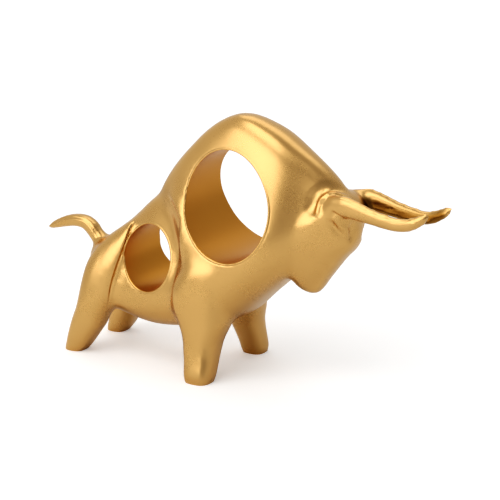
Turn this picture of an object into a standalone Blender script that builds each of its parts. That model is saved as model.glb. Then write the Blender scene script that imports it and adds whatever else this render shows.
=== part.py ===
"""Cast bull figurine with a round hole through its shoulders and a smaller one through its belly.

One solid casting that stands on four flat soles. The bull faces +X, +Z is up, and the origin is on
the ground under the middle of the figure. The masses of the body are lofted from rings, melted into
one skin by a voxel remesh, and the two holes are then cut straight through it.
"""

import math

import bmesh
import bpy
import numpy as np
from mathutils import Euler, Matrix, Vector
from mathutils.bvhtree import BVHTree

# Driving sizes in metres
LENGTH = 0.281            # tail tip to horn tips
SHOULDER_HOLE_WIDTH = 0.0588
SHOULDER_HOLE_HEIGHT = 0.0663
SHOULDER_HOLE_LEAN = math.radians(18.3)   # top end towards the tail
BELLY_HOLE_WIDTH = 0.0369
BELLY_HOLE_HEIGHT = 0.0410

# The free form is drawn on a grid of 281 units from tail tip to horn tips
UNIT = LENGTH / 281.0

# Pose of the head: tipped over to the bull's left about a point in the neck
HEAD_TURN = math.radians(0.0)
HEAD_TIP = math.radians(-4.5)
HEAD_PIVOT = (62.0, 0.0, 104.0)

# Places of the holes, in grid units
SHOULDER_HOLE_AT = (11.6, 109.2)
BELLY_HOLE_AT = (-46.8, 68.4)

# Resolution of the skin
VOXEL = 0.0016
RING_SIDES = 40
HOLE_SIDES = 96
SOLID_TRIANGLES = 8400
ENGRAVE_REFINE_REACH = 4.0   # grid units to each side of a carved line

# Zones to soften, as low and high corners in X and Z, and how many passes each gets
SOFTENING = (
    ((-101.0, 20.0), (84.0, 165.0), 10),
    ((-150.0, -10.0), (150.0, 165.0), 3),
)

# Barrel and rump: X, underside, back line, half width, narrowing towards the back line
BARREL = (
    (-103.8, 49.0, 58.5, 4.0, 0.0),
    (-101.0, 43.0, 65.5, 9.0, 0.1),
    (-94.5, 36.5, 70.0, 14.5, 0.2),
    (-85.0, 31.0, 74.5, 18.0, 0.35),
    (-75.0, 27.5, 83.0, 20.0, 0.45),
    (-65.0, 25.0, 92.0, 20.5, 0.5),
    (-55.0, 22.9, 101.5, 21.0, 0.5),
    (-46.0, 22.2, 108.0, 21.8, 0.5),
    (-35.0, 23.0, 113.0, 22.8, 0.5),
    (-25.0, 24.7, 116.0, 23.4, 0.5),
    (-10.0, 28.2, 118.0, 23.0, 0.5),
    (0.0, 30.0, 112.0, 18.0, 0.5),
    (8.0, 36.0, 98.0, 8.0, 0.4),
)

# Shoulders, hump and neck: the same five numbers
SHOULDERS = (
    (-50.5, 99.0, 104.5, 3.0, 0.0),
    (-47.0, 96.0, 110.5, 7.0, 0.2),
    (-43.0, 95.0, 116.7, 10.5, 0.2),
    (-36.0, 94.0, 126.8, 13.5, 0.35),
    (-28.0, 90.0, 135.8, 17.0, 0.45),
    (-22.0, 76.0, 142.0, 20.0, 0.54),
    (-17.0, 58.0, 147.2, 22.3, 0.6),
    (-11.5, 46.0, 151.8, 23.6, 0.62),
    (-6.0, 40.0, 155.8, 24.4, 0.63),
    (1.0, 36.0, 159.5, 24.8, 0.62),
    (8.0, 35.0, 162.0, 25.0, 0.6),
    (15.0, 37.0, 162.4, 25.2, 0.57),
    (22.0, 43.4, 161.2, 25.4, 0.53),
    (29.0, 50.4, 158.8, 25.4, 0.48),
    (36.0, 56.6, 156.0, 24.9, 0.43),
    (42.6, 62.8, 152.4, 23.4, 0.39),
    (49.4, 68.2, 147.8, 20.8, 0.34),
    (56.0, 74.2, 143.4, 17.5, 0.28),
    (63.0, 80.5, 138.6, 14.6, 0.22),
    (70.0, 87.0, 133.2, 12.3, 0.15),
    (76.5, 95.0, 127.0, 10.5, 0.1),
    (82.0, 104.0, 120.8, 8.0, 0.0),
    (85.0, 110.0, 117.0, 4.0, 0.0),
)

# Foreleg: Z, middle X, middle Y, half length along X, half width along Y
FORELEG = (
    (-4.0, -0.7, 33.0, 7.0, 7.0),
    (0.0, -1.2, 32.8, 7.9, 7.9),
    (2.5, -1.2, 32.3, 8.7, 8.7),
    (5.0, -1.2, 31.8, 9.0, 9.0),
    (10.0, -1.5, 30.2, 9.4, 9.4),
    (15.0, -2.0, 28.5, 9.9, 9.9),
    (20.0, -2.5, 26.8, 10.6, 10.6),
    (27.0, -2.8, 24.8, 12.3, 11.8),
    (33.0, -3.2, 23.0, 14.9, 13.0),
    (39.0, -4.6, 21.4, 17.4, 14.0),
    (46.0, -5.9, 20.2, 18.8, 14.8),
    (54.0, -5.8, 19.2, 18.5, 15.2),
    (62.0, -4.0, 18.2, 17.4, 15.2),
    (70.0, -2.0, 17.0, 15.2, 14.8),
    (78.0, 0.5, 14.5, 12.7, 12.8),
    (86.0, 3.0, 11.0, 9.5, 9.0),
    (92.0, 4.5, 8.0, 6.0, 5.0),
)

# Girth of the right and the left foreleg, as a share of the table above
FORELEG_GIRTH = {-1: 1.04, 1: 0.93}

# Thigh and hind leg: the same five numbers
HIND_LEG = (
    (-4.0, -104.2, 22.8, 5.0, 6.2),
    (0.0, -102.6, 22.8, 6.8, 7.2),
    (2.5, -101.2, 22.7, 7.8, 7.9),
    (5.0, -99.8, 22.6, 8.3, 8.3),
    (10.0, -97.4, 22.4, 9.4, 9.1),
    (20.0, -92.6, 21.5, 11.3, 10.1),
    (30.0, -88.6, 20.3, 12.0, 11.1),
    (40.0, -85.6, 18.3, 13.3, 12.0),
    (50.0, -84.0, 15.7, 13.4, 12.8),
    (60.0, -81.2, 13.0, 13.8, 13.0),
    (70.0, -76.5, 10.0, 12.5, 12.5),
    (79.0, -70.0, 7.3, 9.5, 11.0),
    (87.0, -62.5, 5.5, 5.0, 8.0),
    (90.0, -59.0, 5.0, 1.8, 4.0),
)

# Head from muzzle to poll: Z, middle X, half length, half width, narrowing towards the nose
HEAD = (
    (58.1, 62.0, 2.6, 3.0, 0.0),
    (59.6, 61.1, 5.2, 5.5, 0.1),
    (62.6, 60.0, 8.2, 8.0, 0.15),
    (66.8, 59.9, 10.6, 10.0, 0.2),
    (73.0, 61.9, 12.8, 12.0, 0.22),
    (82.0, 65.6, 15.5, 13.8, 0.25),
    (90.0, 69.3, 18.4, 15.2, 0.28),
    (98.0, 70.7, 19.6, 16.0, 0.28),
    (105.0, 74.6, 15.8, 16.2, 0.22),
    (112.0, 78.6, 12.0, 15.6, 0.15),
    (117.0, 78.4, 9.7, 14.0, 0.1),
    (121.0, 78.2, 5.4, 9.0, 0.0),
    (122.5, 77.0, 3.0, 4.0, 0.0),
)

# Horn from root to tip: X, Y, Z, half width, half height
HORN = (
    (74.0, 10.0, 113.0, 5.4, 8.4),
    (80.0, 12.4, 115.8, 5.2, 8.0),
    (88.0, 14.0, 116.4, 4.9, 7.0),
    (95.0, 14.8, 115.4, 4.6, 6.2),
    (104.0, 15.0, 113.3, 4.4, 5.1),
    (113.8, 15.0, 111.5, 4.2, 4.6),
    (121.0, 15.0, 110.6, 4.0, 4.4),
    (127.8, 15.0, 111.3, 3.7, 4.1),
    (133.9, 15.0, 113.9, 3.2, 3.5),
    (137.6, 15.0, 116.3, 2.6, 2.7),
    (140.4, 15.0, 118.6, 1.2, 1.3),
)

# Tail from root to tip: X, Y, Z, half width, half height
TAIL = (
    (-90.0, 0.0, 58.0, 5.0, 5.0),
    (-95.0, 0.0, 64.0, 5.0, 5.1),
    (-99.6, 0.0, 69.5, 5.0, 5.1),
    (-104.0, 0.0, 74.2, 4.8, 4.9),
    (-109.0, 0.0, 77.8, 4.6, 4.6),
    (-115.0, 0.0, 78.7, 4.4, 4.3),
    (-122.0, 0.0, 77.7, 4.0, 4.0),
    (-129.5, 0.0, 75.4, 3.4, 3.4),
    (-136.4, 0.0, 72.6, 2.5, 2.4),
    (-141.4, 0.0, 70.4, 1.0, 0.9),
)

# Carved lines on the right flank, mirrored to the left: X, Y, Z and strength from 0 to 1
THIGH_EDGE = (
    (-63.4, 12.0, 89.5, 0.0),
    (-63.9, 13.7, 85.7, 0.7),
    (-64.2, 15.7, 82.0, 1.0),
    (-65.9, 18.7, 74.3, 1.0),
    (-68.2, 21.1, 66.0, 1.0),
    (-70.7, 23.3, 57.1, 1.0),
    (-72.9, 25.4, 46.7, 0.7),
    (-74.4, 26.0, 38.0, 0.3),
    (-75.4, 25.9, 31.0, 0.0),
)
SHOULDER_CREASE = (
    (-37.0, 13.5, 107.5, 0.0),
    (-33.0, 16.5, 106.0, 0.5),
    (-27.4, 19.8, 102.5, 1.0),
    (-22.5, 23.1, 96.1, 1.0),
    (-21.2, 24.0, 86.0, 1.0),
    (-22.4, 23.0, 73.3, 1.0),
    (-22.9, 26.0, 61.3, 1.0),
    (-21.8, 30.5, 49.9, 1.0),
    (-19.2, 31.7, 40.4, 0.7),
    (-15.6, 32.9, 34.0, 0.0),
)
EAR_LIP = (
    (69.4, 16.2, 109.0, 0.0),
    (69.6, 15.5, 113.0, 0.8),
    (70.4, 14.0, 118.0, 1.0),
    (73.2, 12.8, 121.6, 1.0),
    (78.1, 11.3, 123.3, 0.7),
    (83.0, 10.5, 123.5, 0.0),
)

# Profiles across those lines: distance and lift. A distance is positive to the right of the line, for
# someone beside the right flank who looks along it
EDGE_PROFILE = ((-3.4, 0.0), (-1.4, -0.6), (0.3, 1.4), (3.0, 1.0), (10.0, 0.0))
CREASE_PROFILE = ((-9.0, 0.0), (-5.5, 0.6), (-2.8, 0.9), (-0.6, -0.7), (0.6, -0.7), (5.0, 0.0))
LIP_PROFILE = ((-4.0, 0.0), (-0.3, 1.6), (0.8, 1.2), (2.4, -1.2), (4.0, -1.2), (7.0, 0.0))

# Squareness of the rings: 2 is an ellipse, larger is boxier
BODY_POWER = 2.5
BACK_POWER = 3.1      # upper half of the body's rings
LEG_POWER = 3.0
HEAD_POWER = 3.2
HORN_POWER = 2.8
TAIL_POWER = 2.6
NARROWING_CURVE = 0.35   # how soon a narrowing section stops getting slimmer

# A horn's section in shares of its half width and height: the plane of its flat top, which tilts
# inwards, and the depth, height and spread of the hollow in its inner side
HORN_TOP_NORMAL = (-0.5, 0.87)
HORN_TOP_OFFSET = 0.66
HORN_SCOOP_DEPTH = 0.7
HORN_SCOOP_AT = -0.1
HORN_SCOOP_SPREAD = 0.5


def clear_scene():
    for thing in list(bpy.data.objects):
        bpy.data.objects.remove(thing)


def smooth_rows(rows, steps):
    """Reads a table as a smooth curve: a cubic through every row, with steps new rows to each gap."""
    table = np.array(rows, float)
    slopes = np.gradient(table, axis=0)
    read = []
    for i in range(len(table) - 1):
        for t in np.arange(steps) / steps:
            read.append(
                table[i] * (2 * t**3 - 3 * t**2 + 1)
                + slopes[i] * (t**3 - 2 * t**2 + t)
                + table[i + 1] * (3 * t**2 - 2 * t**3)
                + slopes[i + 1] * (t**3 - t**2)
            )
    read.append(table[-1])
    return read


def squared(turn, power):
    """A point of a superellipse."""
    x = math.copysign(abs(math.cos(turn)) ** (2 / power), math.cos(turn))
    y = math.copysign(abs(math.sin(turn)) ** (2 / power), math.sin(turn))
    return x, y


def narrowed(turn, power, narrowing):
    """A point of a superellipse that gets slimmer from its bottom to its top."""
    x, y = squared(turn, power)
    return x * (1 - narrowing * (y - NARROWING_CURVE * y * y)), y


def body_section(narrowing):
    """Boxier over the back, and slimmer towards the back line."""
    return lambda turn: narrowed(turn, BACK_POWER if turn > 0 else BODY_POWER, narrowing)


def head_section(narrowing):
    """Slimmer towards the nose."""
    return lambda turn: narrowed(turn, HEAD_POWER, narrowing)


def leg_section(turn):
    return squared(turn, LEG_POWER)


def tail_section(turn):
    return squared(turn, TAIL_POWER)


def horn_section(outward):
    """Round outside, a flat top that tilts inwards, and a scooped inner side."""

    def section(turn):
        x, y = squared(turn, HORN_POWER)
        x *= outward
        over = max(0.0, HORN_TOP_NORMAL[0] * x + HORN_TOP_NORMAL[1] * y - HORN_TOP_OFFSET)
        x -= HORN_TOP_NORMAL[0] * over
        y -= HORN_TOP_NORMAL[1] * over
        if x < 0.0:
            x += HORN_SCOOP_DEPTH * math.exp(-(((y - HORN_SCOOP_AT) / HORN_SCOOP_SPREAD) ** 2))
        return x * outward, y

    return section


def add_ring(bm, place, across, along, section):
    """Adds one closed ring, whose outline section gives for each turn around it."""
    made = bmesh.ops.create_circle(bm, segments=RING_SIDES, radius=1.0)
    for vert in made["verts"]:
        x, y = section(math.atan2(vert.co.y, vert.co.x))
        vert.co = place @ Vector((across * x, along * y, 0.0))
    return list({edge for vert in made["verts"] for edge in vert.link_edges})


def loft(bm, rings):
    """Bridges rings, given as add_ring's arguments, into one closed shell."""
    loops = [add_ring(bm, *ring) for ring in rings]
    for first, second in zip(loops, loops[1:]):
        bmesh.ops.bridge_loops(bm, edges=first + second)
    for end in (loops[0], loops[-1]):
        bmesh.ops.edgeloop_fill(bm, edges=end)


def upright_place(x, z):
    """A ring that stands across the body: its width along Y and its length along Z."""
    columns = Matrix(((0, 0, 1), (1, 0, 0), (0, 1, 0))).to_4x4()
    return Matrix.Translation(Vector((x, 0.0, z)) * UNIT) @ columns


def level_place(x, y, z):
    """A ring that lies flat: its width along Y and its length along X."""
    columns = Matrix(((0, 1, 0), (1, 0, 0), (0, 0, 1))).to_4x4()
    return Matrix.Translation(Vector((x, y, z)) * UNIT) @ columns


def body_rings(rows):
    for x, low, high, half_width, narrowing in smooth_rows(rows, 4):
        place = upright_place(x, (low + high) / 2)
        yield place, half_width * UNIT, (high - low) / 2 * UNIT, body_section(narrowing)


def leg_rings(rows, side, girth):
    for z, x, y, half_length, half_width in smooth_rows(rows, 4):
        place = level_place(x, side * y, z)
        yield place, girth * half_width * UNIT, girth * half_length * UNIT, leg_section


def head_rings():
    for z, x, half_length, half_width, narrowing in smooth_rows(HEAD, 4):
        yield level_place(x, 0.0, z), half_width * UNIT, half_length * UNIT, head_section(narrowing)


def swept_rings(rows, side, section):
    """Rings square to a path, for horns and tail."""
    rows = smooth_rows(rows, 5)
    points = [Vector((x, side * y, z)) * UNIT for x, y, z, *_ in rows]
    for i, (*_, half_width, half_height) in enumerate(rows):
        forward = (points[min(i + 1, len(rows) - 1)] - points[max(i - 1, 0)]).normalized()
        across = Vector((0, 1, 0))
        up = forward.cross(across).normalized()
        across = up.cross(forward)
        place = Matrix((across, up, forward)).transposed().to_4x4()
        place.translation = points[i]
        yield place, half_width * UNIT, half_height * UNIT, section


def head_pose():
    """Turns and tips the head with its horns about the neck."""
    pivot = Matrix.Translation(Vector(HEAD_PIVOT) * UNIT)
    return pivot @ Euler((HEAD_TIP, 0.0, HEAD_TURN)).to_matrix().to_4x4() @ pivot.inverted()


def lump(build, pose=None):
    """Runs build on an empty bmesh and returns the mesh of its shells, faces outwards."""
    bm = bmesh.new()
    build(bm)
    if pose:
        bmesh.ops.transform(bm, matrix=pose, verts=bm.verts)
    bmesh.ops.recalc_face_normals(bm, faces=bm.faces)
    return bm


def build_body(bm):
    loft(bm, body_rings(BARREL))
    loft(bm, body_rings(SHOULDERS))
    for side in (-1, 1):
        loft(bm, leg_rings(FORELEG, side, FORELEG_GIRTH[side]))
        loft(bm, leg_rings(HIND_LEG, side, 1.0))
    loft(bm, swept_rings(TAIL, 1, tail_section))


def build_head(bm):
    loft(bm, head_rings())
    for side in (-1, 1):
        loft(bm, swept_rings(HORN, side, horn_section(side)))


def new_object(name, bm):
    mesh = bpy.data.meshes.new(name)
    bm.to_mesh(mesh)
    bm.free()
    thing = bpy.data.objects.new(name, mesh)
    bpy.context.scene.collection.objects.link(thing)
    return thing


def add_cutter(name, width, height, lean, at):
    """A long elliptical plug along Y for one hole. It cuts and isn't part of the figure."""
    bm = bmesh.new()
    bmesh.ops.create_cone(
        bm, cap_ends=True, segments=HOLE_SIDES, radius1=0.5, radius2=0.5, depth=LENGTH
    )
    shape = Matrix.Rotation(lean, 4, "Z") @ Matrix.Diagonal((width, height, 1.0, 1.0))
    bmesh.ops.transform(bm, matrix=shape, verts=bm.verts)
    cutter = new_object(name, bm)
    cutter.rotation_euler = (math.radians(90), 0.0, 0.0)
    cutter.location = Vector((at[0], 0.0, at[1])) * UNIT
    cutter.hide_render = True
    cutter.display_type = "WIRE"
    return cutter


def gold():
    material = bpy.data.materials.new("satin gold")
    material.use_nodes = True
    shader = material.node_tree.nodes["Principled BSDF"]
    shader.inputs["Base Color"].default_value = (0.79, 0.50, 0.15, 1.0)
    shader.inputs["Metallic"].default_value = 1.0
    shader.inputs["Roughness"].default_value = 0.35
    return material


def melted(thing):
    """The one skin that a voxel remesh makes of an object's overlapping shells."""
    melt = thing.modifiers.new("melt", "REMESH")
    melt.mode = "VOXEL"
    melt.voxel_size = VOXEL
    bpy.context.view_layer.update()
    ready = thing.evaluated_get(bpy.context.evaluated_depsgraph_get())
    bm = bmesh.new()
    bm.from_mesh(ready.to_mesh())
    ready.to_mesh_clear()
    bpy.data.objects.remove(thing)
    return bm


def soften(bm):
    """Rounds the folds where masses meet, most in the body and least at horns, tail and feet."""
    for low, high, passes in SOFTENING:
        zone = [v for v in bm.verts if low[0] < v.co.x / UNIT < high[0] and low[1] < v.co.z / UNIT < high[1]]
        for _ in range(passes):
            bmesh.ops.smooth_vert(
                bm, verts=zone, factor=0.5, use_axis_x=True, use_axis_y=True, use_axis_z=True
            )


def near_path(bm, points, reach):
    """For each vertex, the nearest point of a path and whether it is within reach."""
    places = np.array([vert.co for vert in bm.verts])
    nearest = np.zeros(len(places), int)
    gaps = np.full(len(places), np.inf)
    for i, point in enumerate(points):
        gap = np.linalg.norm(places - np.array(point), axis=1)
        nearest[gap < gaps] = i
        gaps = np.minimum(gaps, gap)
    return nearest, gaps < reach * UNIT


def engrave(bm, path, profile):
    """Raises and lowers both flanks of the skin along a path, by a profile across it."""
    rows = np.array(smooth_rows(path, 5))
    distances, lifts = zip(*profile)
    reach = max(-distances[0], distances[-1])
    for side in (-1, 1):
        points = [Vector((x, side * y, z)) * UNIT for x, y, z, strength in rows]
        near = near_path(bm, points, ENGRAVE_REFINE_REACH)[1]
        for vert, tagged in zip(bm.verts, near):
            vert.tag = bool(tagged)
        edges = [edge for edge in bm.edges if edge.verts[0].tag and edge.verts[1].tag]
        bmesh.ops.subdivide_edges(bm, edges=edges, cuts=1, use_grid_fill=True)
        bm.normal_update()

        tree = BVHTree.FromBMesh(bm)
        hits = [tree.find_nearest(point) for point in points]
        points = [hit[0] for hit in hits]
        across = []
        for i, hit in enumerate(hits):
            along = points[min(i + 1, len(points) - 1)] - points[max(i - 1, 0)]
            across.append(along.cross(hit[1]).normalized() * -side)
        nearest, near = near_path(bm, points, reach)
        lifted = []
        for vert, i, tagged in zip(list(bm.verts), nearest, near):
            if tagged:
                away = (vert.co - points[i]).dot(across[i]) / UNIT
                lift = rows[i][3] * float(np.interp(away, distances, lifts)) * UNIT
                lifted.append((vert, vert.co + vert.normal * lift))
        for vert, place in lifted:
            vert.co = place


def cut_soles(bm):
    """Cuts the legs flat on the ground."""
    everything = bm.verts[:] + bm.edges[:] + bm.faces[:]
    cut = bmesh.ops.bisect_plane(
        bm, geom=everything, dist=1e-6, plane_co=(0, 0, 0), plane_no=(0, 0, 1), clear_inner=True
    )
    rim = [part for part in cut["geom_cut"] if isinstance(part, bmesh.types.BMEdge)]
    bmesh.ops.edgeloop_fill(bm, edges=rim)


def build_bull():
    body = lump(build_body)
    head = lump(build_head, head_pose())
    spare = bpy.data.meshes.new("head")
    head.to_mesh(spare)
    head.free()
    body.from_mesh(spare)
    bpy.data.meshes.remove(spare)

    skin = melted(new_object("masses", body))
    soften(skin)
    engrave(skin, THIGH_EDGE, EDGE_PROFILE)
    engrave(skin, SHOULDER_CREASE, CREASE_PROFILE)
    engrave(skin, EAR_LIP, LIP_PROFILE)
    cut_soles(skin)
    bull = new_object("bull", skin)

    coarsen = bull.modifiers.new("coarsen", "DECIMATE")
    coarsen.ratio = SOLID_TRIANGLES / (2 * len(bull.data.polygons))

    shoulder_hole = SHOULDER_HOLE_WIDTH, SHOULDER_HOLE_HEIGHT, SHOULDER_HOLE_LEAN, SHOULDER_HOLE_AT
    belly_hole = BELLY_HOLE_WIDTH, BELLY_HOLE_HEIGHT, 0.0, BELLY_HOLE_AT
    for name, hole in (("shoulder_hole_cutter", shoulder_hole), ("belly_hole_cutter", belly_hole)):
        cut = bull.modifiers.new(name, "BOOLEAN")
        cut.operation = "DIFFERENCE"
        cut.solver = "EXACT"
        cut.object = add_cutter(name, *hole)

    bull.data.materials.append(gold())
    return bull


def main():
    clear_scene()
    build_bull()


main()
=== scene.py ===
# %% [markdown]
# # A cast bull in satin gold
#
# The photograph shows no joint or seam, so the figure is taken for one casting, in resin painted a
# satin gold. A sculptor would call it a few swelling masses melted into each other: a barrel, a hump,
# a head, four short legs, two long horns and a tail, with a large oval hole through the shoulders
# and a smaller one through the belly.
#
# This lesson loads the plain solid of the figure as a fixed frame, then builds a finer skin over it:
# lofted masses, one voxel remesh, carved lines, two holes with beaded rims, and a painted finish.

import math

import bmesh
import bpy
import numpy as np
from mathutils import Euler, Matrix, Vector
from mathutils.bvhtree import BVHTree


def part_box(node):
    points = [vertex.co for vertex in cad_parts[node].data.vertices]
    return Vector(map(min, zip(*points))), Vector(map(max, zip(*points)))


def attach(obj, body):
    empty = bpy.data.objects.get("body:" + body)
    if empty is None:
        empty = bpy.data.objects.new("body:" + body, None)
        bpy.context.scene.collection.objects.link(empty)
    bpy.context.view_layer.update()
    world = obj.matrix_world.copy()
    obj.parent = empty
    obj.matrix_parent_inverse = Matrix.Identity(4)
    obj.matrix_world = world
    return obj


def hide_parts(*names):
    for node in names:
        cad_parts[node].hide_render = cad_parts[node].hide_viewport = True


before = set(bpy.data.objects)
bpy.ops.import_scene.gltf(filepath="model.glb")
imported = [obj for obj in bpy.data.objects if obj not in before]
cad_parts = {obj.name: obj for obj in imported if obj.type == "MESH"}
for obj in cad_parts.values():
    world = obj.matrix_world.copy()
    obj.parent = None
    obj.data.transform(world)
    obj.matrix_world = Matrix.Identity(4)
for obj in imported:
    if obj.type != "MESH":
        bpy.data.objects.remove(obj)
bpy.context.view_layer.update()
print("frame nodes:", list(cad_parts))

# %% [markdown]
# A free form has few lengths that a ruler could find, so it is drawn on a grid. Here the grid has
# 281 units from the tip of the tail to the tips of the horns. The frame says how long the solid
# really is, and that gives the size of one unit.

# %% Work out the size of one grid unit
GRID_LENGTH = 281.0
solid_low, solid_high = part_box("bull")
UNIT = round((solid_high[0] - solid_low[0]) / GRID_LENGTH, 5)
print("one grid unit in millimetres:", UNIT * 1000)

# %% [markdown]
# The barrel and the shoulders are stacks of upright rings. Each row of a table is one ring: where it
# stands along the body, its lowest and highest point, its half width, and how much it slims
# towards the back line. A few rows are enough, because a smooth curve is read through them.

# %% The barrel and rump
BARREL = (
    (-103.8, 49.0, 58.5, 4.0, 0.0),
    (-101.0, 43.0, 65.5, 9.0, 0.1),
    (-94.5, 36.5, 70.0, 14.5, 0.2),
    (-85.0, 31.0, 74.5, 18.0, 0.35),
    (-75.0, 27.5, 83.0, 20.0, 0.45),
    (-65.0, 25.0, 92.0, 20.5, 0.5),
    (-55.0, 22.9, 101.5, 21.0, 0.5),
    (-46.0, 22.2, 108.0, 21.8, 0.5),
    (-35.0, 23.0, 113.0, 22.8, 0.5),
    (-25.0, 24.7, 116.0, 23.4, 0.5),
    (-10.0, 28.2, 118.0, 23.0, 0.5),
    (0.0, 30.0, 112.0, 18.0, 0.5),
    (8.0, 36.0, 98.0, 8.0, 0.4),
)

# %% The shoulders, hump and neck
SHOULDERS = (
    (-50.5, 99.0, 104.5, 3.0, 0.0),
    (-47.0, 96.0, 110.5, 7.0, 0.2),
    (-43.0, 95.0, 116.7, 10.5, 0.2),
    (-36.0, 94.0, 126.8, 13.5, 0.35),
    (-28.0, 90.0, 135.8, 17.0, 0.45),
    (-22.0, 76.0, 142.0, 20.0, 0.54),
    (-17.0, 58.0, 147.2, 22.3, 0.6),
    (-11.5, 46.0, 151.8, 23.6, 0.62),
    (-6.0, 40.0, 155.8, 24.4, 0.63),
    (1.0, 36.0, 159.5, 24.8, 0.62),
    (8.0, 35.0, 162.0, 25.0, 0.6),
    (15.0, 37.0, 162.4, 25.2, 0.57),
    (22.0, 43.4, 161.2, 25.4, 0.53),
    (29.0, 50.4, 158.8, 25.4, 0.48),
    (36.0, 56.6, 156.0, 24.9, 0.43),
    (42.6, 62.8, 152.4, 23.4, 0.39),
    (49.4, 68.2, 147.8, 20.8, 0.34),
    (56.0, 74.2, 143.4, 17.5, 0.28),
    (63.0, 80.5, 138.6, 14.6, 0.22),
    (70.0, 87.0, 133.2, 12.3, 0.15),
    (76.5, 95.0, 127.0, 10.5, 0.1),
    (82.0, 104.0, 120.8, 8.0, 0.0),
    (85.0, 110.0, 117.0, 4.0, 0.0),
)

# %% [markdown]
# A leg is a stack of level rings instead. Its rows give the height, the middle of the ring, and its
# half length and half width. Both legs of a pair come from one table, mirrored. On the real figure
# the right foreleg is a little stouter than the left one, so each side has a girth of its own.

# %% The legs
FORELEG = (
    (-4.0, -0.7, 33.0, 7.0, 7.0),
    (0.0, -1.2, 32.8, 7.9, 7.9),
    (2.5, -1.2, 32.3, 8.7, 8.7),
    (5.0, -1.2, 31.8, 9.0, 9.0),
    (10.0, -1.5, 30.2, 9.4, 9.4),
    (15.0, -2.0, 28.5, 9.9, 9.9),
    (20.0, -2.5, 26.8, 10.6, 10.6),
    (27.0, -2.8, 24.8, 12.3, 11.8),
    (33.0, -3.2, 23.0, 14.9, 13.0),
    (39.0, -4.6, 21.4, 17.4, 14.0),
    (46.0, -5.9, 20.2, 18.8, 14.8),
    (54.0, -5.8, 19.2, 18.5, 15.2),
    (62.0, -4.0, 18.2, 17.4, 15.2),
    (70.0, -2.0, 17.0, 15.2, 14.8),
    (78.0, 0.5, 14.5, 12.7, 12.8),
    (86.0, 3.0, 11.0, 9.5, 9.0),
    (92.0, 4.5, 8.0, 6.0, 5.0),
)
FORELEG_GIRTH = {-1: 1.04, 1: 0.93}
HIND_LEG = (
    (-4.0, -104.2, 22.8, 5.0, 6.2),
    (0.0, -102.6, 22.8, 6.8, 7.2),
    (2.5, -101.2, 22.7, 7.8, 7.9),
    (5.0, -99.8, 22.6, 8.3, 8.3),
    (10.0, -97.4, 22.4, 9.4, 9.1),
    (20.0, -92.6, 21.5, 11.3, 10.1),
    (30.0, -88.6, 20.3, 12.0, 11.1),
    (40.0, -85.6, 18.3, 13.3, 12.0),
    (50.0, -84.0, 15.7, 13.4, 12.8),
    (60.0, -81.2, 13.0, 13.8, 13.0),
    (70.0, -76.5, 10.0, 12.5, 12.5),
    (79.0, -70.0, 7.3, 9.5, 11.0),
    (87.0, -62.5, 5.5, 5.0, 8.0),
    (90.0, -59.0, 5.0, 1.8, 4.0),
)

# %% [markdown]
# The head is level rings too, from the muzzle up to the poll. Horns and tail are swept: rings
# that stand square to a curved path. Their rows give a point of the path and two half sizes.

# %% The head
HEAD = (
    (58.1, 62.0, 2.6, 3.0, 0.0),
    (59.6, 61.1, 5.2, 5.5, 0.1),
    (62.6, 60.0, 8.2, 8.0, 0.15),
    (66.8, 59.9, 10.6, 10.0, 0.2),
    (73.0, 61.9, 12.8, 12.0, 0.22),
    (82.0, 65.6, 15.5, 13.8, 0.25),
    (90.0, 69.3, 18.4, 15.2, 0.28),
    (98.0, 70.7, 19.6, 16.0, 0.28),
    (105.0, 74.6, 15.8, 16.2, 0.22),
    (112.0, 78.6, 12.0, 15.6, 0.15),
    (117.0, 78.4, 9.7, 14.0, 0.1),
    (121.0, 78.2, 5.4, 9.0, 0.0),
    (122.5, 77.0, 3.0, 4.0, 0.0),
)

# %% The horns and the tail
HORN = (
    (74.0, 10.0, 113.0, 5.4, 8.4),
    (80.0, 12.4, 115.8, 5.2, 8.0),
    (88.0, 14.0, 116.4, 4.9, 7.0),
    (95.0, 14.8, 115.4, 4.6, 6.2),
    (104.0, 15.0, 113.3, 4.4, 5.1),
    (113.8, 15.0, 111.5, 4.2, 4.6),
    (121.0, 15.0, 110.6, 4.0, 4.4),
    (127.8, 15.0, 111.3, 3.7, 4.1),
    (133.9, 15.0, 113.9, 3.2, 3.5),
    (137.6, 15.0, 116.3, 2.6, 2.7),
    (140.4, 15.0, 118.6, 1.2, 1.3),
)
TAIL = (
    (-90.0, 0.0, 58.0, 5.0, 5.0),
    (-95.0, 0.0, 64.0, 5.0, 5.1),
    (-99.6, 0.0, 69.5, 5.0, 5.1),
    (-104.0, 0.0, 74.2, 4.8, 4.9),
    (-109.0, 0.0, 77.8, 4.6, 4.6),
    (-115.0, 0.0, 78.7, 4.4, 4.3),
    (-122.0, 0.0, 77.7, 4.0, 4.0),
    (-129.5, 0.0, 75.4, 3.4, 3.4),
    (-136.4, 0.0, 72.6, 2.5, 2.4),
    (-141.4, 0.0, 70.4, 1.0, 0.9),
)

# %% [markdown]
# The head isn't level: on the real figure it is tipped a few degrees to the bull's left, about a
# point in the neck. One matrix holds that pose, for the head and for every line carved in it.

# %% The pose of the head
HEAD_TIP = math.radians(-4.5)
HEAD_PIVOT = Vector((62.0, 0.0, 104.0)) * UNIT

pivot = Matrix.Translation(HEAD_PIVOT)
head_pose = pivot @ Euler((HEAD_TIP, 0.0, 0.0)).to_matrix().to_4x4() @ pivot.inverted()
print("head tipped by degrees:", round(math.degrees(HEAD_TIP), 1))

# %% [markdown]
# Every ring is a superellipse. With a power of 2 it is an ellipse, and a larger power makes it
# boxier, which gives the broad flat flanks and the soft corners of the casting. The back is a
# little boxier than the belly, and the body slims towards the back line.

# %% Sections of the body, the legs and the tail
BODY_POWER = 2.5
BACK_POWER = 3.1
LEG_POWER = 3.0
HEAD_POWER = 3.2
HORN_POWER = 2.8
TAIL_POWER = 2.6
NARROWING_CURVE = 0.35


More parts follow.
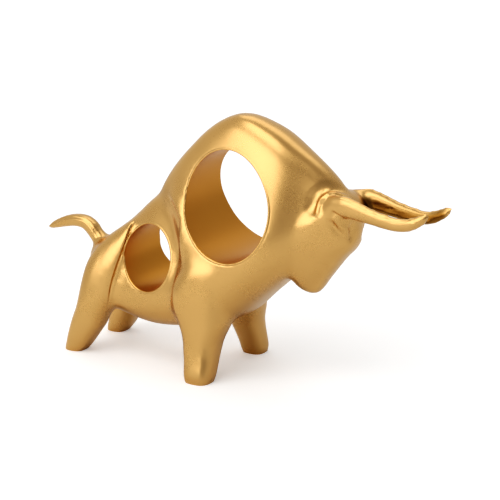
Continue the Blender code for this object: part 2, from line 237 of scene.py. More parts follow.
def squared(turn, power):
    """A point of a superellipse."""
    x = math.copysign(abs(math.cos(turn)) ** (2 / power), math.cos(turn))
    y = math.copysign(abs(math.sin(turn)) ** (2 / power), math.sin(turn))
    return x, y


def narrowed(turn, power, narrowing):
    """A point of a superellipse that gets slimmer from its bottom to its top."""
    x, y = squared(turn, power)
    return x * (1 - narrowing * (y - NARROWING_CURVE * y * y)), y


def body_section(narrowing):
    return lambda turn: narrowed(turn, BACK_POWER if turn > 0 else BODY_POWER, narrowing)


def head_section(narrowing):
    return lambda turn: narrowed(turn, HEAD_POWER, narrowing)


def leg_section(turn):
    return squared(turn, LEG_POWER)


def tail_section(turn):
    return squared(turn, TAIL_POWER)


# %% [markdown]
# The horns aren't plain round bars. Each has a flat top that tilts inwards, so that its outer side
# ends in a long crease, and its inner side is scooped out. Both are cut into the section: a plane
# takes the top off, and a soft bell curve pushes the inner side in.

# %% Section of a horn
HORN_TOP_NORMAL = (-0.5, 0.87)
HORN_TOP_OFFSET = 0.66
HORN_SCOOP_DEPTH = 0.7
HORN_SCOOP_AT = -0.1
HORN_SCOOP_SPREAD = 0.5


def horn_section(outward):
    def section(turn):
        x, y = squared(turn, HORN_POWER)
        x *= outward
        over = max(0.0, HORN_TOP_NORMAL[0] * x + HORN_TOP_NORMAL[1] * y - HORN_TOP_OFFSET)
        x -= HORN_TOP_NORMAL[0] * over
        y -= HORN_TOP_NORMAL[1] * over
        if x < 0.0:
            x += HORN_SCOOP_DEPTH * math.exp(-(((y - HORN_SCOOP_AT) / HORN_SCOOP_SPREAD) ** 2))
        return x * outward, y

    return section


# %% [markdown]
# create_circle gives a ring, its points are pushed out to the section, and bridge_loops joins each
# ring to the next. Two caps close the shell. Lofting suits a form that swells along one line, and
# it needs only a dozen rows where a sculpted mesh would need thousands of points.

# %% Rings and lofts
RING_SIDES = 64


def smooth_rows(rows, steps):
    """Reads a table as a smooth curve through every row, with steps new rows to each gap."""
    table = np.array(rows, float)
    slopes = np.gradient(table, axis=0)
    read = []
    for i in range(len(table) - 1):
        for t in np.arange(steps) / steps:
            read.append(
                table[i] * (2 * t**3 - 3 * t**2 + 1)
                + slopes[i] * (t**3 - 2 * t**2 + t)
                + table[i + 1] * (3 * t**2 - 2 * t**3)
                + slopes[i + 1] * (t**3 - t**2)
            )
    read.append(table[-1])
    return read


def add_ring(bm, place, across, along, section):
    """Adds one closed ring, whose outline section gives for each turn around it."""
    made = bmesh.ops.create_circle(bm, segments=RING_SIDES, radius=1.0)
    for vert in made["verts"]:
        x, y = section(math.atan2(vert.co.y, vert.co.x))
        vert.co = place @ Vector((across * x, along * y, 0.0))
    return list({edge for vert in made["verts"] for edge in vert.link_edges})


def loft(bm, rings):
    """Bridges rings into one closed shell."""
    loops = [add_ring(bm, *ring) for ring in rings]
    for first, second in zip(loops, loops[1:]):
        bmesh.ops.bridge_loops(bm, edges=first + second)
    for end in (loops[0], loops[-1]):
        bmesh.ops.edgeloop_fill(bm, edges=end)


# %% [markdown]
# A ring is drawn flat and then placed by a matrix: upright across the body, level across a leg or
# the head, or square to a path. The path's own direction gives the third kind its axes.

# %% Ways to place a ring
UPRIGHT = Matrix(((0, 0, 1), (1, 0, 0), (0, 1, 0))).to_4x4()
LEVEL = Matrix(((0, 1, 0), (1, 0, 0), (0, 0, 1))).to_4x4()


def body_rings(rows):
    for x, low, high, half_width, narrowing in smooth_rows(rows, 4):
        place = Matrix.Translation(Vector((x, 0.0, (low + high) / 2)) * UNIT) @ UPRIGHT
        yield place, half_width * UNIT, (high - low) / 2 * UNIT, body_section(narrowing)


def leg_rings(rows, side, girth):
    for z, x, y, half_length, half_width in smooth_rows(rows, 4):
        place = Matrix.Translation(Vector((x, side * y, z)) * UNIT) @ LEVEL
        yield place, girth * half_width * UNIT, girth * half_length * UNIT, leg_section


def head_rings():
    for z, x, half_length, half_width, narrowing in smooth_rows(HEAD, 4):
        place = Matrix.Translation(Vector((x, 0.0, z)) * UNIT) @ LEVEL
        yield place, half_width * UNIT, half_length * UNIT, head_section(narrowing)


def swept_rings(rows, side, section, steps=5):
    rows = smooth_rows(rows, steps)
    points = [Vector((x, side * y, z)) * UNIT for x, y, z, *_ in rows]
    for i, (*_, half_width, half_height) in enumerate(rows):
        forward = (points[min(i + 1, len(rows) - 1)] - points[max(i - 1, 0)]).normalized()
        across = Vector((0, 1, 0))
        up = forward.cross(across).normalized()
        across = up.cross(forward)
        place = Matrix((across, up, forward)).transposed().to_4x4()
        place.translation = points[i]
        yield place, half_width * UNIT, half_height * UNIT, section


# %% Build the overlapping masses
def add_shells(bm, others):
    """Adds the shells of another bmesh, which is used up."""
    spare = bpy.data.meshes.new("spare")
    others.to_mesh(spare)
    others.free()
    bm.from_mesh(spare)
    bpy.data.meshes.remove(spare)


masses = bmesh.new()
loft(masses, body_rings(BARREL))
loft(masses, body_rings(SHOULDERS))
for side in (-1, 1):
    loft(masses, leg_rings(FORELEG, side, FORELEG_GIRTH[side]))
    loft(masses, leg_rings(HIND_LEG, side, 1.0))
loft(masses, swept_rings(TAIL, 1, tail_section))

head = bmesh.new()
loft(head, head_rings())
for side in (-1, 1):
    loft(head, swept_rings(HORN, side, horn_section(side)))
bmesh.ops.transform(head, matrix=head_pose, verts=head.verts)
add_shells(masses, head)
bmesh.ops.recalc_face_normals(masses, faces=masses.faces)
print("masses:", len(masses.verts), "points")

# %% [markdown]
# A voxel remesh melts the overlapping shells into one skin of even squares. It leaves a hard fold
# wherever two masses meet, so the folds are then smoothed, most over the body and least on the
# thin horns and tail, which would shrink.

# %% Melt the masses into one skin
VOXEL = 0.0016


def new_object(name, bm):
    mesh = bpy.data.meshes.new(name)
    bm.to_mesh(mesh)
    bm.free()
    thing = bpy.data.objects.new(name, mesh)
    bpy.context.scene.collection.objects.link(thing)
    return thing


def finished_mesh(thing):
    """An object's mesh with its modifiers applied, as a bmesh. The object is removed."""
    bpy.context.view_layer.update()
    ready = thing.evaluated_get(bpy.context.evaluated_depsgraph_get())
    bm = bmesh.new()
    bm.from_mesh(ready.to_mesh())
    ready.to_mesh_clear()
    bpy.data.objects.remove(thing)
    return bm


melting = new_object("melting", masses)
melt = melting.modifiers.new("melt", "REMESH")
melt.mode = "VOXEL"
melt.voxel_size = VOXEL
skin = finished_mesh(melting)
print("skin:", len(skin.faces), "faces")

# %% Soften the folds
SOFTENING = (
    ((-101.0, 20.0), (84.0, 165.0), 16),
    ((-150.0, -10.0), (150.0, 165.0), 3),
)


def soften(bm, verts, passes):
    for _ in range(passes):
        bmesh.ops.smooth_vert(
            bm, verts=verts, factor=0.5, use_axis_x=True, use_axis_y=True, use_axis_z=True
        )


for low, high, passes in SOFTENING:
    zone = [
        vert
        for vert in skin.verts
        if low[0] < vert.co.x / UNIT < high[0] and low[1] < vert.co.z / UNIT < high[1]
    ]
    soften(skin, zone, passes)
    print("softened", len(zone), "points in", passes, "passes")

# %% [markdown]
# The sculptor's own marks are lines: the sharp edge of each thigh, the crease behind each shoulder,
# the lip round a horn's root. A line is carved much as a chisel would do it. The skin is made finer
# beside the line, the line is laid on the skin, and each point nearby is lifted or pressed along
# its normal by a profile across the line.

# %% Find the skin near a line
FINE_REACH = 2.4 * UNIT
COARSE_REACH = 4.2 * UNIT
FINEST_EDGE = 0.55 * UNIT
AFTER_CARVING = 1   # passes of softening that take the tool marks off


def near_line(bm, points, reach):
    """For each vertex, the nearest point of a line, and whether it is within reach."""
    places = np.array([vert.co for vert in bm.verts])
    nearest = np.zeros(len(places), int)
    gaps = np.full(len(places), np.inf)
    for i, point in enumerate(points):
        gap = np.linalg.norm(places - np.array(point), axis=1)
        nearest[gap < gaps] = i
        gaps = np.minimum(gaps, gap)
    return nearest, gaps < reach


def refine(bm, close):
    """Halves the squares of the skin whose vertices are marked close, unless they are fine already."""
    for vert, tagged in zip(bm.verts, close):
        vert.tag = bool(tagged)
    edges = [
        edge
        for edge in bm.edges
        if edge.verts[0].tag and edge.verts[1].tag and edge.calc_length() > FINEST_EDGE
    ]
    bmesh.ops.subdivide_edges(bm, edges=edges, cuts=1, use_grid_fill=True)
    uneven = [face for face in bm.faces if len(face.verts) > 4]
    bmesh.ops.triangulate(bm, faces=uneven)
    bm.normal_update()


# %% Carve one line
def carve(bm, points, strengths, profile, side, fine):
    """Lifts and presses the skin beside a line. The side is -1 on the right flank, 1 on the left."""
    distances, lifts = zip(*profile)
    reach = max(-distances[0], distances[-1]) * UNIT
    refine(bm, near_line(bm, points, COARSE_REACH)[1])
    if fine:
        refine(bm, near_line(bm, points, FINE_REACH)[1])

    tree = BVHTree.FromBMesh(bm)
    hits = [tree.find_nearest(point) for point in points]
    points = [hit[0] for hit in hits]
    across = []
    for i, hit in enumerate(hits):
        along = points[min(i + 1, len(points) - 1)] - points[max(i - 1, 0)]
        across.append(along.cross(hit[1]).normalized() * -side)
    nearest, close = near_line(bm, points, reach)
    lifted = []
    for vert, i, tagged in zip(list(bm.verts), nearest, close):
        if tagged:
            away = (vert.co - points[i]).dot(across[i]) / UNIT
            lift = strengths[i] * float(np.interp(away, distances, lifts)) * UNIT
            lifted.append((vert, vert.co + vert.normal * lift))
    for vert, place in lifted:
        vert.co = place
    soften(bm, [vert for vert, place in lifted], AFTER_CARVING)
    return len(lifted)


# %% [markdown]
# A line is a list of points on the right flank, with a strength from 0 to 1 at each, so that it
# starts and ends softly. The left flank gets its mirror image. A line on the head is mirrored
# within the head, which means taking its pose off, mirroring, and putting the pose back.

# %% Carve a line on both flanks
MIRROR = Matrix.Diagonal((1.0, -1.0, 1.0, 1.0))
HEAD_MIRROR = head_pose @ MIRROR @ head_pose.inverted()


def carve_flanks(name, path, profile, mirror=MIRROR, fine=True, steps=5, left=1.0):
    rows = np.array(smooth_rows(path, steps))
    moved = 0
    for side in (-1, 1):
        points = [Vector((x, -y, z)) * UNIT for x, y, z, strength in rows]
        if side > 0:
            points = [mirror @ point for point in points]
        strengths = rows[:, 3] * (left if side > 0 else 1.0)
        moved += carve(skin, points, strengths, profile, side, fine)
    print("carved", name, "with", moved, "points")


# %% [markdown]
# The thigh ends in front in a blade: a raised edge that runs down from the flank into the hind leg,
# with a groove and a second low ridge in front of it.

# %% Carve the edge of the thigh
THIGH_EDGE = (
    (-63.4, 12.0, 89.5, 0.0),
    (-63.9, 13.7, 85.7, 0.7),
    (-64.2, 15.7, 82.0, 1.0),
    (-65.9, 18.7, 74.3, 1.0),
    (-68.2, 21.1, 66.0, 1.0),
    (-70.7, 23.3, 57.1, 1.0),
    (-72.9, 25.4, 46.7, 0.7),
    (-74.4, 26.0, 38.0, 0.3),
    (-75.4, 25.9, 31.0, 0.0),
)
THIGH_PROFILE = (
    (-4.2, 0.0),
    (-3.0, -0.1),
    (-1.9, 0.35),
    (-1.1, 0.1),
    (-0.6, -0.35),
    (0.1, 1.0),
    (0.6, 1.3),
    (2.5, 1.1),
    (6.0, 0.45),
    (11.0, 0.0),
)
carve_flanks("thigh edge", THIGH_EDGE, THIGH_PROFILE)

# %% Carve the crease behind the shoulder
SHOULDER_CREASE = (
    (-37.0, 13.5, 107.5, 0.0),
    (-33.0, 16.5, 106.0, 0.5),
    (-27.4, 19.8, 102.5, 1.0),
    (-22.5, 23.1, 96.1, 1.0),
    (-21.2, 24.0, 86.0, 1.0),
    (-22.4, 23.0, 73.3, 1.0),
    (-22.9, 26.0, 61.3, 1.0),
    (-21.8, 30.5, 49.9, 1.0),
    (-19.2, 31.7, 40.4, 0.7),
    (-15.6, 32.9, 34.0, 0.0),
)
CREASE_PROFILE = ((-9.0, 0.0), (-5.5, 0.45), (-2.8, 0.7), (-0.6, -0.5), (0.6, -0.5), (5.0, 0.0))
carve_flanks("shoulder crease", SHOULDER_CREASE, CREASE_PROFILE, fine=False)

# %% [markdown]
# A raised lip curls round the root of each horn, like the rim of an ear, with a shallow hollow to
# each side. It swings up from the cheek and over the top of the horn. The photo shows it on the
# right only, so the left one is kept lower.

# %% Carve the lip round a horn's root
EAR_LIP = (
    (69.4, 16.2, 109.0, 0.0),
    (69.6, 15.5, 113.0, 0.8),
    (70.4, 14.0, 118.0, 1.0),
    (73.2, 12.8, 121.6, 1.0),
    (76.9, 9.8, 123.5, 0.8),
    (80.0, 6.6, 122.4, 0.6),
    (84.4, 2.6, 120.3, 0.0),
)
LIP_PROFILE = (
    (-8.5, 0.0),
    (-4.8, -0.9),
    (-2.4, -0.8),
    (-0.9, 0.5),
    (0.0, 1.0),
    (1.0, 0.6),
    (2.4, -0.4),
    (4.2, -0.3),
    (7.0, 0.0),
)
carve_flanks("ear lip", EAR_LIP, LIP_PROFILE, mirror=HEAD_MIRROR, left=0.5)

# %% [markdown]
# The face has only hints of features: a slit for the eye under the horn, a slanting brow fold below
# it, and a dark furrow that parts the brow from the flat forehead.

# %% Carve the eye, the brow and the furrow
SLIT_PROFILE = ((-3.0, 0.0), (-1.4, 0.2), (0.0, -1.0), (1.4, -0.5), (3.2, 0.0))
EYE_SLIT = (
    (79.5, 16.7, 113.9, 0.0),
    (81.9, 16.7, 113.2, 1.0),
    (83.8, 16.7, 112.2, 1.0),
    (86.4, 16.7, 111.4, 0.6),
    (89.0, 16.0, 110.6, 0.0),
)
carve_flanks("eye slit", EYE_SLIT, SLIT_PROFILE, mirror=HEAD_MIRROR)

BROW_PROFILE = ((-6.5, 0.0), (-3.6, 0.6), (-1.4, 1.1), (0.0, 0.6), (1.6, -0.7), (3.0, -0.7), (5.5, 0.0))
BROW_FOLD = (
    (78.6, 15.8, 110.6, 0.0),
    (79.9, 15.3, 109.0, 0.6),
    (82.0, 14.4, 106.7, 1.0),
    (84.2, 13.4, 103.8, 1.0),
    (86.3, 12.5, 101.5, 0.6),
    (88.2, 11.4, 99.5, 0.0),
)
carve_flanks("brow fold", BROW_FOLD, BROW_PROFILE, mirror=HEAD_MIRROR, fine=False)

FURROW_PROFILE = ((-5.0, 0.0), (-2.2, -0.7), (-0.4, -1.5), (0.8, -1.5), (2.4, -0.5), (5.0, 0.0))
FURROW = (
    (91.0, 9.8, 108.0, 0.0),
    (90.9, 9.3, 104.5, 0.9),
    (90.7, 8.8, 101.0, 1.0),
    (90.0, 8.6, 97.5, 0.8),
    (88.5, 8.8, 94.0, 0.0),
)
carve_flanks("furrow", FURROW, FURROW_PROFILE, mirror=HEAD_MIRROR, fine=False)

# %% [markdown]
# The lines on the horns and the tail follow their paths, so they are worked out from the same
# tables: a point at a chosen place of the section, in shares of its half width and half height.
# Each line is then snapped to the skin, as the others are.

# %% Work out a line along a sweep
def line_along(rows, side, x, y, first, last, pose=Matrix()):
    """Points at one place of a swept section, from row first to row last of its table."""
    steps = 5
    rings = list(swept_rings(rows, side, None, steps))[first * steps : last * steps + 1]
    return [pose @ place @ Vector((x * across, y * along, 0.0)) for place, across, along, _ in rings]


def soft_ends(count, fade):
    """Strengths that rise from 0 at each end of a line over fade points."""
    return [min(1.0, i / fade, (count - 1 - i) / fade) for i in range(count)]


# %% Carve the crease of each horn
HORN_CREASE_PROFILE = ((-1.5, 0.0), (-0.6, 0.1), (0.0, -0.3), (0.6, 0.1), (1.5, 0.0))
for side in (-1, 1):
    line = line_along(HORN, side, side * 0.8, 0.65, 1, 8, head_pose)
    carve(skin, line, soft_ends(len(line), 6), HORN_CREASE_PROFILE, side, True)
print("horn creases carved")

# %% Carve the crease of the tail
TAIL_GROOVE_PROFILE = ((-2.2, 0.0), (-1.3, 0.2), (0.0, -0.35), (1.3, 0.15), (2.4, 0.0))
for side in (-1, 1):
    line = line_along(TAIL, 1, side * 0.78, -0.55, 2, 8)
    carve(skin, line, soft_ends(len(line), 5), TAIL_GROOVE_PROFILE, side, True)
print("tail creases carved")

# %% [markdown]
# Each hole has a thin bead round its edge, with a groove outside it. The skin in a narrow band round
# each hole is made finer first. Then two elliptical plugs cut the holes straight through, with a
# Boolean modifier, whose exact solver copes with the fine skin.

# %% Sizes of the holes
HOLES = {
    "shoulder": (58.8, 66.3, math.radians(18.3), (11.6, 109.2)),
    "belly": (36.9, 41.0, 0.0, (-46.8, 68.4)),
}
RIM_BAND = (-1.4, 3.2)


def rim_place(point, width, height, lean, at):
    """The distance of a point from the edge of a hole, in grid units, and its turn round it."""
    x = point.x / UNIT - at[0]
    z = point.z / UNIT - at[1]
    along = x * math.cos(lean) + z * math.sin(lean)
    up = z * math.cos(lean) - x * math.sin(lean)
    reach = math.hypot(along / (width / 2), up / (height / 2))
    away = math.hypot(along, up) * (1 - 1 / max(reach, 0.01))
    return away, math.atan2(up, along)


for name, hole in HOLES.items():
    for _ in range(2):
        refine(skin, [RIM_BAND[0] < rim_place(vert.co, *hole)[0] < RIM_BAND[1] for vert in skin.verts])
    print("after the", name, "band:", len(skin.faces), "faces")

# %% Cut the soles flat
everything = skin.verts[:] + skin.edges[:] + skin.faces[:]
cut = bmesh.ops.bisect_plane(
    skin, geom=everything, dist=1e-6, plane_co=(0, 0, 0), plane_no=(0, 0, 1), clear_inner=True
)
sole_edges = [part for part in cut["geom_cut"] if isinstance(part, bmesh.types.BMEdge)]
bmesh.ops.edgeloop_fill(skin, edges=sole_edges)
print("soles cut:", len(sole_edges), "edges")

# %% Cut the holes
HOLE_SIDES = 160
PLUG_LENGTH = 0.1
PLUG_CUTS = 24   # short faces give the walls an even shading


def hole_cutter(name, width, height, lean, at):
    bm = bmesh.new()
    bmesh.ops.create_cone(
        bm, cap_ends=True, segments=HOLE_SIDES, radius1=0.5 * UNIT, radius2=0.5 * UNIT, depth=PLUG_LENGTH
    )
    long_edges = [edge for edge in bm.edges if edge.calc_length() > PLUG_LENGTH / 2]
    bmesh.ops.subdivide_edges(bm, edges=long_edges, cuts=PLUG_CUTS)
    shape = Matrix.Rotation(lean, 4, "Z") @ Matrix.Diagonal((width, height, 1.0, 1.0))
    turned = Matrix.Rotation(math.radians(90), 4, "X") @ shape
    bmesh.ops.transform(bm, matrix=turned, verts=bm.verts)
    bmesh.ops.translate(bm, vec=Vector((at[0], 0.0, at[1])) * UNIT, verts=bm.verts)
    return new_object(name, bm)


cutting = new_object("cutting", skin)
cutters = [hole_cutter(name, *hole) for name, hole in HOLES.items()]
for cutter in cutters:
    cut = cutting.modifiers.new(cutter.name, "BOOLEAN")
    cut.operation = "DIFFERENCE"
    cut.solver = "EXACT"
    cut.object = cutter
casting = finished_mesh(cutting)
for cutter in cutters:
    bpy.data.objects.remove(cutter)
print("casting:", len(casting.faces), "faces")

# %% [markdown]
# With the holes open, the skin beside them is lifted into the bead by its distance from the edge.
# The bead is strongest at the lower back of each hole and fades to a crisp edge in front.

# %% Raise a bead round each hole
RIM_PROFILE = ((-0.1, -0.3), (0.25, 0.25), (0.6, 0.45), (0.95, 0.2), (1.35, -0.2), (2.0, 0.0))
RIM_START = -0.2
BEAD_STRONGEST = math.radians(215)
BEAD_WEAKEST = 0.3

for name, hole in HOLES.items():
    lifted = 0
    for vert in casting.verts:
        away, turn = rim_place(vert.co, *hole)
        if RIM_START < away < RIM_BAND[1]:
            near_strongest = 0.5 + 0.5 * math.cos(turn - BEAD_STRONGEST)
            strength = BEAD_WEAKEST + (1 - BEAD_WEAKEST) * near_strongest
            lift = strength * float(np.interp(away, *zip(*RIM_PROFILE))) * UNIT
            vert.co.y += lift * math.copysign(1.0, vert.co.y)
            lifted += 1
    print(name, "bead raised with", lifted, "points")
casting.normal_update()

# %% [markdown]
# The walls of the holes and the skin round them must not share their shading, so the edges where
# they meet are sharp. The walls of the holes are painted a darker, warmer colour, and the inner
# sides of the horns a dark brown: painted shade for these hollows. Two attributes of the points
# mark them for the finish.

# %% Shade it smooth, and mark the hole walls for painted shade
SHARP_ANGLE = math.radians(48)
WALL_GAP = 0.12
WALL_LEAN = 0.5   # a wall's faces point less than this along Y

# The first attribute marks the walls of the holes. They get painted shade in the finish, a little more
# roughness, and sharp edges at their rims.
for name in ("hole_wall_shade", "horn_hollow_shade"):
    casting.verts.layers.float.new(name)
wall_shade = casting.verts.layers.float["hole_wall_shade"]
hollow_shade = casting.verts.layers.float["horn_hollow_shade"]

for vert in casting.verts:
    gap = min(abs(rim_place(vert.co, *hole)[0]) for hole in HOLES.values())
    vert[wall_shade] = float(gap < WALL_GAP)
for face in casting.faces:
    face.smooth = True
    face.tag = abs(face.normal.y) < WALL_LEAN and all(vert[wall_shade] for vert in face.verts)
for edge in casting.edges:
    walls = sum(face.tag for face in edge.link_faces)
    edge.smooth = walls != 1 and edge.calc_face_angle(0.0) < SHARP_ANGLE
print("painted wall shade on", sum(vert[wall_shade] > 0.5 for vert in casting.verts), "points")

# %% Mark the hollows of the horns for painted shade
HOLLOW_REACH = (2.5, 5.0)   # dark up to the first distance from the line, plain past the second

# The second attribute marks the scooped inner sides of the horns, which get a painted dark brown shade
# in the finish
for side in (-1, 1):
    line = line_along(HORN, side, side * -0.9, -0.2, 1, 8, head_pose)
    nearest, close = near_line(casting, line, HOLLOW_REACH[1] * UNIT)
    for vert, i, tagged in zip(casting.verts, nearest, close):
        if tagged:
            gap = (vert.co - line[i]).length / UNIT
            vert[hollow_shade] = float(np.interp(gap, HOLLOW_REACH, (1.0, 0.0)))
print("painted hollow shade on", sum(vert[hollow_shade] > 0.5 for vert in casting.verts), "points")

# %% Put the casting in place of the plain solid
bull = new_object("bull_casting", casting)
triangles = sum(len(face.vertices) - 2 for face in bull.data.polygons)
print("bull:", triangles, "triangles")
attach(bull, "root")
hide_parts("bull")


# %% [markdown]
# A material is a graph of nodes, and sums over noise read badly as links. This small class wraps
# one socket, so that an expression such as 0.3 + 0.1 * cloud adds its Math nodes by itself. Every
# other node comes from its method add.

# %% Sockets that do sums
class Socket:
    """A socket of a material's nodes that takes part in Python sums."""

    def __init__(self, tree, socket=None):
        self.tree = tree
        self.socket = socket

    def plug(self, slot, value):
        """Sets a socket from a number or a colour, or links it."""
        if isinstance(value, Socket):
            self.tree.links.new(value.socket, slot)
        else:
            slot.default_value = value

    def add(self, kind, settings, sockets, output=0):
        """Adds a node: its settings first, then the values or links of its sockets."""
        made = self.tree.nodes.new(kind)
        for name, value in settings.items():
            setattr(made, name, value)
        for name, value in sockets.items():
            self.plug(made.inputs[name], value)
        return Socket(self.tree, made.outputs[output])

    def join(self, operation, first, second):
        return self.add("ShaderNodeMath", {"operation": operation}, {0: first, 1: second})

    def __add__(self, other):
        return self.join("ADD", self, other)

    def __radd__(self, other):
        return self.join("ADD", other, self)

    def __sub__(self, other):
        return self.join("SUBTRACT", self, other)

    def __rsub__(self, other):
        return self.join("SUBTRACT", other, self)

    def __mul__(self, other):
        return self.join("MULTIPLY", self, other)

    def __rmul__(self, other):
        return self.join("MULTIPLY", other, self)


# %% [markdown]
# The finish is taken for a satin gold paint: a metal flake in clear binder. It shines softly, with
# a fine tooth from the spray gun and faint clouds where the coat is thicker. So the colour and the
# roughness drift slowly over the body, and a very fine bump gives the tooth. A thin even coat
# stands for the binder. The walls of the holes are painted a warmer, darker colour, and the hollows
# of the horns a dark brown: both are painted shade.

# %% Colours and grain of the gold
THIN_COAT = (0.645, 0.382, 0.145, 1.0)
THICK_COAT = (0.69, 0.42, 0.167, 1.0)
# Painted shade: a warmer, darker colour for the walls of the holes and a dark brown for the hollows of
# the horns
WALL_SHADE_COLOUR = (0.60, 0.275, 0.048, 1.0)
HOLLOW_SHADE_COLOUR = (0.21, 0.10, 0.02, 1.0)
CLOUD_SCALE = 45.0
TOOTH_SCALE = 1100.0
TOOTH_DEPTH = 0.00004
TOOTH_STRENGTH = 0.12

# %% Satin gold
gold = bpy.data.materials.new("satin gold")
gold.use_nodes = True
finish = gold.node_tree.nodes["Principled BSDF"]
start = Socket(gold.node_tree)

where = start.add("ShaderNodeTexCoord", {}, {}, output="Object")
cloud = start.add(
    "ShaderNodeTexNoise", {}, {"Vector": where, "Scale": CLOUD_SCALE, "Detail": 3.0, "Roughness": 0.55}
)
tooth = start.add(
    "ShaderNodeTexNoise", {}, {"Vector": where, "Scale": TOOTH_SCALE, "Detail": 2.0, "Roughness": 0.6}
)
colour = start.add(
    "ShaderNodeMix", {"data_type": "RGBA"}, {0: cloud, 6: THIN_COAT, 7: THICK_COAT}, output=2
)
# These two attributes mark where painted shade is mixed into the colour: the hole walls and the horn
# hollows
wall_shade = start.add("ShaderNodeAttribute", {"attribute_name": "hole_wall_shade"}, {}, output="Fac")
hollow_shade = start.add("ShaderNodeAttribute", {"attribute_name": "horn_hollow_shade"}, {}, output="Fac")
for places, ground in ((wall_shade, WALL_SHADE_COLOUR), (hollow_shade, HOLLOW_SHADE_COLOUR)):
    colour = start.add(
        "ShaderNodeMix", {"data_type": "RGBA"}, {0: places, 6: colour, 7: ground}, output=2
    )
bump = start.add(
    "ShaderNodeBump", {}, {"Height": tooth, "Strength": TOOTH_STRENGTH, "Distance": TOOTH_DEPTH}
)
start.plug(finish.inputs["Base Color"], colour)
start.plug(finish.inputs["Roughness"], 0.235 + 0.06 * cloud + 0.03 * tooth + 0.08 * wall_shade)
start.plug(finish.inputs["Normal"], bump)
finish.inputs["Metallic"].default_value = 1.0
finish.inputs["Coat Weight"].default_value = 0.08
finish.inputs["Coat Roughness"].default_value = 0.25
bull.data.materials.append(gold)
print("gold finish has", len(gold.node_tree.nodes), "nodes")

# %% [markdown]
# The camera stands about a metre from the figure, in front of its right flank and a little above.
# Its lens is as long as the photograph's perspective asks, and one pixel shows 0.61 mm.

# %% Camera
VIEW_TURN = math.radians(31.6)
VIEW_HEIGHT = math.radians(15.75)
IMAGE_WIDTH = 500
PIXEL = 0.61 * UNIT
DISTANCE_IN_PIXELS = 1600
TARGET = Vector((0.0149, 0.0, 0.0776))
SENSOR = 36.0


def direction(turn, height):
    """The direction from the figure to a place at a turn from its right flank and a height."""
    level = math.cos(height)
    return Vector((math.sin(turn) * level, -math.cos(turn) * level, math.sin(height)))


back = direction(VIEW_TURN, VIEW_HEIGHT)
lens = bpy.data.cameras.new("camera")
lens.sensor_width = SENSOR
lens.lens = SENSOR * DISTANCE_IN_PIXELS / IMAGE_WIDTH
lens.clip_start = 0.01
camera = bpy.data.objects.new("camera", lens)
camera.location = TARGET + back * DISTANCE_IN_PIXELS * PIXEL
camera.rotation_euler = (-back).to_track_quat("-Z", "Y").to_euler()
bpy.context.scene.collection.objects.link(camera)
bpy.context.scene.camera = camera
print("camera at", [round(value, 3) for value in camera.location])

# %% [markdown]
# The floor is a large sheet of white paper. A photographer would light its far end as well, so that
# it stays white behind the figure, and here a glow that grows with distance does that. Only the
# camera sees the glow, so that the metal still mirrors plain paper.

# %% Floor
FLOOR_SIZE = 6.0
GLOW_STARTS = 0.25
GLOW_FULL = 2.0
GLOW_NEAR = 0.30
GLOW_FAR = 0.75

floor_bm = bmesh.new()
bmesh.ops.create_grid(floor_bm, x_segments=1, y_segments=1, size=FLOOR_SIZE)
floor = new_object("floor", floor_bm)
paper = bpy.data.materials.new("white paper")
paper.use_nodes = True
sheet = paper.node_tree.nodes["Principled BSDF"]
start = Socket(paper.node_tree)
where = start.add("ShaderNodeTexCoord", {}, {}, output="Object")
distance = start.add("ShaderNodeVectorMath", {"operation": "LENGTH"}, {0: where}, output="Value")
far = start.add(
    "ShaderNodeMapRange",
    {"interpolation_type": "SMOOTHSTEP"},
    {
        "Value": distance,
        "From Min": GLOW_STARTS,
        "From Max": GLOW_FULL,
        "To Min": GLOW_NEAR,
        "To Max": GLOW_FAR,
    },
)
seen = start.add("ShaderNodeLightPath", {}, {}, output="Is Camera Ray")
start.plug(sheet.inputs["Emission Color"], far * seen)
sheet.inputs["Emission Strength"].default_value = 1.0
sheet.inputs["Base Color"].default_value = (0.88, 0.88, 0.88, 1.0)
sheet.inputs["Roughness"].default_value = 0.9
floor.data.materials.append(paper)
print("floor:", FLOOR_SIZE * 2, "m wide")

# %% [markdown]
# Metal shows what surrounds it, so the lights are placed for their reflections. One wide window
# stands low in front of the right flank, and a sheet hangs above it with a narrow gap between,
# which draws the soft line in the highlights. A fainter sheet hangs high behind the back. The rest
# of the room is a dim grey, a little brighter behind the figure and darker ahead of its horns. The
# camera alone sees the room as white.

# %% Soft boxes
LIGHT_DISTANCE = 1.2


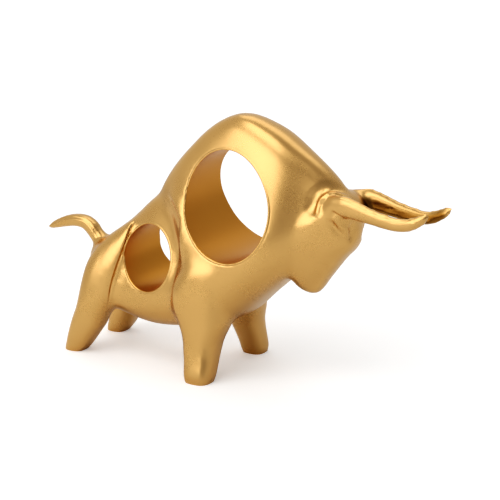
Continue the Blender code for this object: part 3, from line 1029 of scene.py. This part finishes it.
def soft_box(name, turn, height, wide, high, radiance):
    """A rectangular light that faces the figure and looks equally bright from everywhere."""
    light = bpy.data.lights.new(name, "AREA")
    light.shape = "RECTANGLE"
    light.size = wide
    light.size_y = high
    light.energy = radiance * math.pi * wide * high
    toward = direction(math.radians(turn), math.radians(height))
    box = bpy.data.objects.new(name, light)
    box.location = TARGET + toward * LIGHT_DISTANCE
    box.rotation_euler = (-toward).to_track_quat("-Z", "Y").to_euler()
    bpy.context.scene.collection.objects.link(box)
    print(name, "gives", round(light.energy, 1), "W")


soft_box("window", -20.0, 21.0, 1.15, 0.71, 1.9)
soft_box("top sheet", -12.0, 61.0, 1.0, 0.70, 1.85)
soft_box("back sheet", 195.0, 62.0, 1.2, 0.6, 1.0)

# %% The room
ROOM_GREY = 0.57
ROOM_BEHIND = 0.12
ROOM_AHEAD = -0.22

world = bpy.data.worlds.new("studio")
world.use_nodes = True
bpy.context.scene.world = world
sky = world.node_tree.nodes["Background"]
start = Socket(world.node_tree)
look = start.add("ShaderNodeTexCoord", {}, {}, output="Generated")
ahead = start.add("ShaderNodeSeparateXYZ", {}, {0: look}, output="X")
behind = start.add("ShaderNodeSeparateXYZ", {}, {0: look}, output="Y")
seen = start.add("ShaderNodeLightPath", {}, {}, output="Is Camera Ray")
room = ROOM_GREY + ROOM_BEHIND * behind + ROOM_AHEAD * ahead
start.plug(sky.inputs["Strength"], room + seen * (1.0 - room))
sky.inputs["Color"].default_value = (1.0, 1.0, 1.0, 1.0)
print("room grey:", ROOM_GREY, "behind:", ROOM_BEHIND, "ahead:", ROOM_AHEAD)

# %% [markdown]
# A photograph of gold has deep shades: the camera's tone curve presses the darkest tones down, and
# that makes them more saturated. The same curve is set here, a straight line with a soft toe.

# %% Tone curve
TOE = ((0.03, 0.008), (0.08, 0.042), (0.15, 0.108), (0.25, 0.218), (0.4, 0.388))

view = bpy.context.scene.view_settings
view.view_transform = "Standard"
view.use_curve_mapping = True
tones = view.curve_mapping
tones.use_clip = False
tones.extend = "EXTRAPOLATED"
for dark_in, dark_out in TOE:
    tones.curves[3].points.new(dark_in, dark_out)
tones.update()
print("tone curve with", len(tones.curves[3].points), "points")
